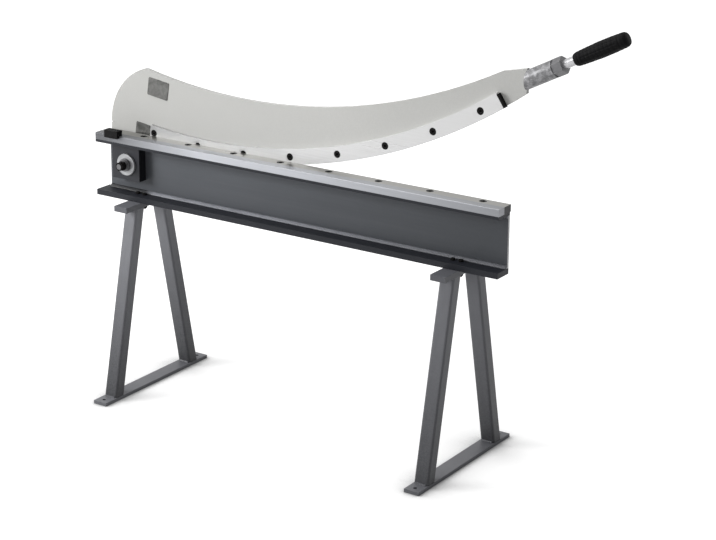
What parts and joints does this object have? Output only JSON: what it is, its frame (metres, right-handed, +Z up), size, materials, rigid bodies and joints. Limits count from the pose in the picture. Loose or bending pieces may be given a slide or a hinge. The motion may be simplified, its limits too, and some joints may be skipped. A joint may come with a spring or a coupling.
{
  "type": "hand lever guillotine shear",
  "caption": "Hand lever sheet metal shear: curved blade on a long arm hinged at one end of a bladed table beam, on two A-shaped stands.",
  "frame": {"origin": "on the floor, in the middle of the four floor bolt holes of the two foot bars; Y = 0 is also the cutting plane between the blades", "axes": "+X along the beam from the pivot end towards the handle end, +Y away from the operator, +Z up"},
  "size_m": [1.66, 0.478, 1.2451],
  "materials": {
    "frame_paint": "satin anthracite paint",
    "flange_paint": "satin dark grey paint",
    "stand_paint": "satin anthracite paint",
    "table_steel": "ground bright steel",
    "lower_blade_steel": "ground hardened steel",
    "upper_blade_steel": "ground hardened steel",
    "arm_paint": "satin light grey paint",
    "block_paint": "satin dark grey paint",
    "black_steel": "blackened steel",
    "black_screws": "blackened steel",
    "bronze": "plain bearing bronze",
    "bright_steel": "zinc plated",
    "turned_steel": "turned steel",
    "socket_steel": "zinc plated tube",
    "collar_steel": "dark turned steel",
    "label_metal": "blank grey plate",
    "grip_rubber": "black moulded grip"
  },
  "bodies": {
    "frame": {"web_plate": "frame_paint", "top_flange": "flange_paint", "bottom_flange": "flange_paint", "beam_welds": "frame_paint", "table_rail": "table_steel", "rail_screws": "black_screws", "lower_blade": "lower_blade_steel", "lower_blade_screws": "black_screws", "bearing_block": "block_paint", "block_screws": "black_screws", "front_bush": "bronze", "rear_bush": "bronze", "thrust_ring": "bright_steel", "side_stop": "black_steel", "side_stop_screws": "black_screws", "rest_block": "black_steel", "rest_block_screws": "black_screws", "left_top_bar": "stand_paint", "left_front_leg": "stand_paint", "left_rear_leg": "stand_paint", "left_foot_bar": "stand_paint", "left_stand_welds": "stand_paint", "right_top_bar": "stand_paint", "right_front_leg": "stand_paint", "right_rear_leg": "stand_paint", "right_foot_bar": "stand_paint", "right_stand_welds": "stand_paint", "beam_bolts": "black_screws", "beam_bolt_nuts": "black_screws"},
    "arm": {"arm_plate": "arm_paint", "upper_blade": "upper_blade_steel", "upper_blade_screws": "black_screws", "upper_blade_washers": "bright_steel", "upper_blade_nuts": "bright_steel", "end_bar": "black_steel", "end_bar_screws": "black_screws", "pivot_pin": "turned_steel", "pin_flange_screws": "black_screws", "spacer_ring": "turned_steel", "disc_springs": "turned_steel", "spring_washer": "bright_steel", "pivot_nut": "black_steel", "lock_nut": "black_steel", "upper_label_plate": "label_metal", "lower_label_plate": "label_metal", "label_rivets": "bright_steel", "handle_socket": "socket_steel", "collar_nut": "collar_steel", "handle_rod": "bright_steel", "hand_grip": "grip_rubber"}
  },
  "joints": [
    {"name": "arm_hinge", "type": "hinge", "parent": "frame", "child": "arm", "pos_m": [-0.576, 0, 0.674], "axis": [0, -1, 0], "range_deg": [-11.37, 15]}
  ]
}
